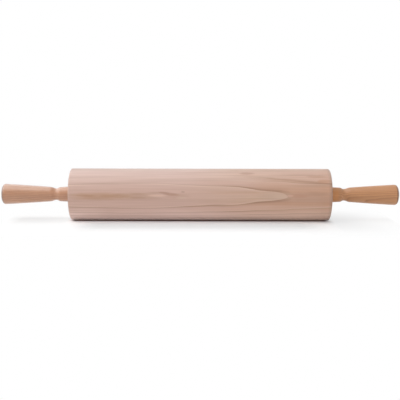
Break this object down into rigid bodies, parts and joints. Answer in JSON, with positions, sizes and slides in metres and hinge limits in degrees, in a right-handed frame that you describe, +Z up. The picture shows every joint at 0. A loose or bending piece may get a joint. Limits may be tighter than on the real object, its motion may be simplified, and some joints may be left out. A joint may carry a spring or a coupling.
{
  "type": "rolling pin with handles",
  "caption": "Turned maple rolling pin: a plain cylindrical barrel that spins freely on ball bearings about a steel axle, with a turned hardwood handle fixed at each end.",
  "frame": {"origin": "on the table, under the middle of the barrel", "axes": "+X along the pin towards the right-hand handle, +Y away from the viewer, +Z up"},
  "size_m": [0.5842, 0.0762, 0.0762],
  "materials": {
    "barrel_maple": "sanded bare maple, satin, with flat-sawn grain along the barrel",
    "handle_wood": "clear lacquered hardwood, semi-gloss",
    "axle_steel": "bright drawn steel rod, turned at the ends",
    "bearing_steel": "ground and polished bearing steel",
    "plated_steel": "zinc plated pressed steel",
    "insert_brass": "turned brass",
    "cage_nylon": "moulded natural nylon"
  },
  "bodies": {
    "axle_and_handles": {"axle": "axle_steel", "left_handle": "handle_wood", "left_threaded_insert": "insert_brass", "left_spacer_washer": "plated_steel", "left_bearing_inner_ring": "bearing_steel", "right_handle": "handle_wood", "right_threaded_insert": "insert_brass", "right_spacer_washer": "plated_steel", "right_bearing_inner_ring": "bearing_steel"},
    "barrel": {"barrel": "barrel_maple", "left_bearing_outer_ring": "bearing_steel", "left_bearing_outer_shield": "plated_steel", "left_bearing_inner_shield": "plated_steel", "right_bearing_outer_ring": "bearing_steel", "right_bearing_outer_shield": "plated_steel", "right_bearing_inner_shield": "plated_steel"},
    "left_ball_set": {"left_bearing_cage": "cage_nylon", "left_bearing_ball_1": "bearing_steel", "left_bearing_ball_2": "bearing_steel", "left_bearing_ball_3": "bearing_steel", "left_bearing_ball_4": "bearing_steel", "left_bearing_ball_5": "bearing_steel", "left_bearing_ball_6": "bearing_steel", "left_bearing_ball_7": "bearing_steel"},
    "right_ball_set": {"right_bearing_cage": "cage_nylon", "right_bearing_ball_1": "bearing_steel", "right_bearing_ball_2": "bearing_steel", "right_bearing_ball_3": "bearing_steel", "right_bearing_ball_4": "bearing_steel", "right_bearing_ball_5": "bearing_steel", "right_bearing_ball_6": "bearing_steel", "right_bearing_ball_7": "bearing_steel"}
  },
  "joints": [
    {"name": "barrel_spin", "type": "hinge", "parent": "axle_and_handles", "child": "barrel", "pos_m": [0, 0, 0.0381], "axis": [1, 0, 0], "continuous": true},
    {"name": "left_balls_orbit", "type": "hinge", "parent": "axle_and_handles", "child": "left_ball_set", "pos_m": [-0.185, 0, 0.0381], "axis": [1, 0, 0], "continuous": true},
    {"name": "right_balls_orbit", "type": "hinge", "parent": "axle_and_handles", "child": "right_ball_set", "pos_m": [0.185, 0, 0.0381], "axis": [1, 0, 0], "continuous": true}
  ],
  "couplings": [
    {"joint": "left_balls_orbit", "follows": "barrel_spin", "ratio": 0.63228},
    {"joint": "right_balls_orbit", "follows": "barrel_spin", "ratio": 0.63228}
  ]
}
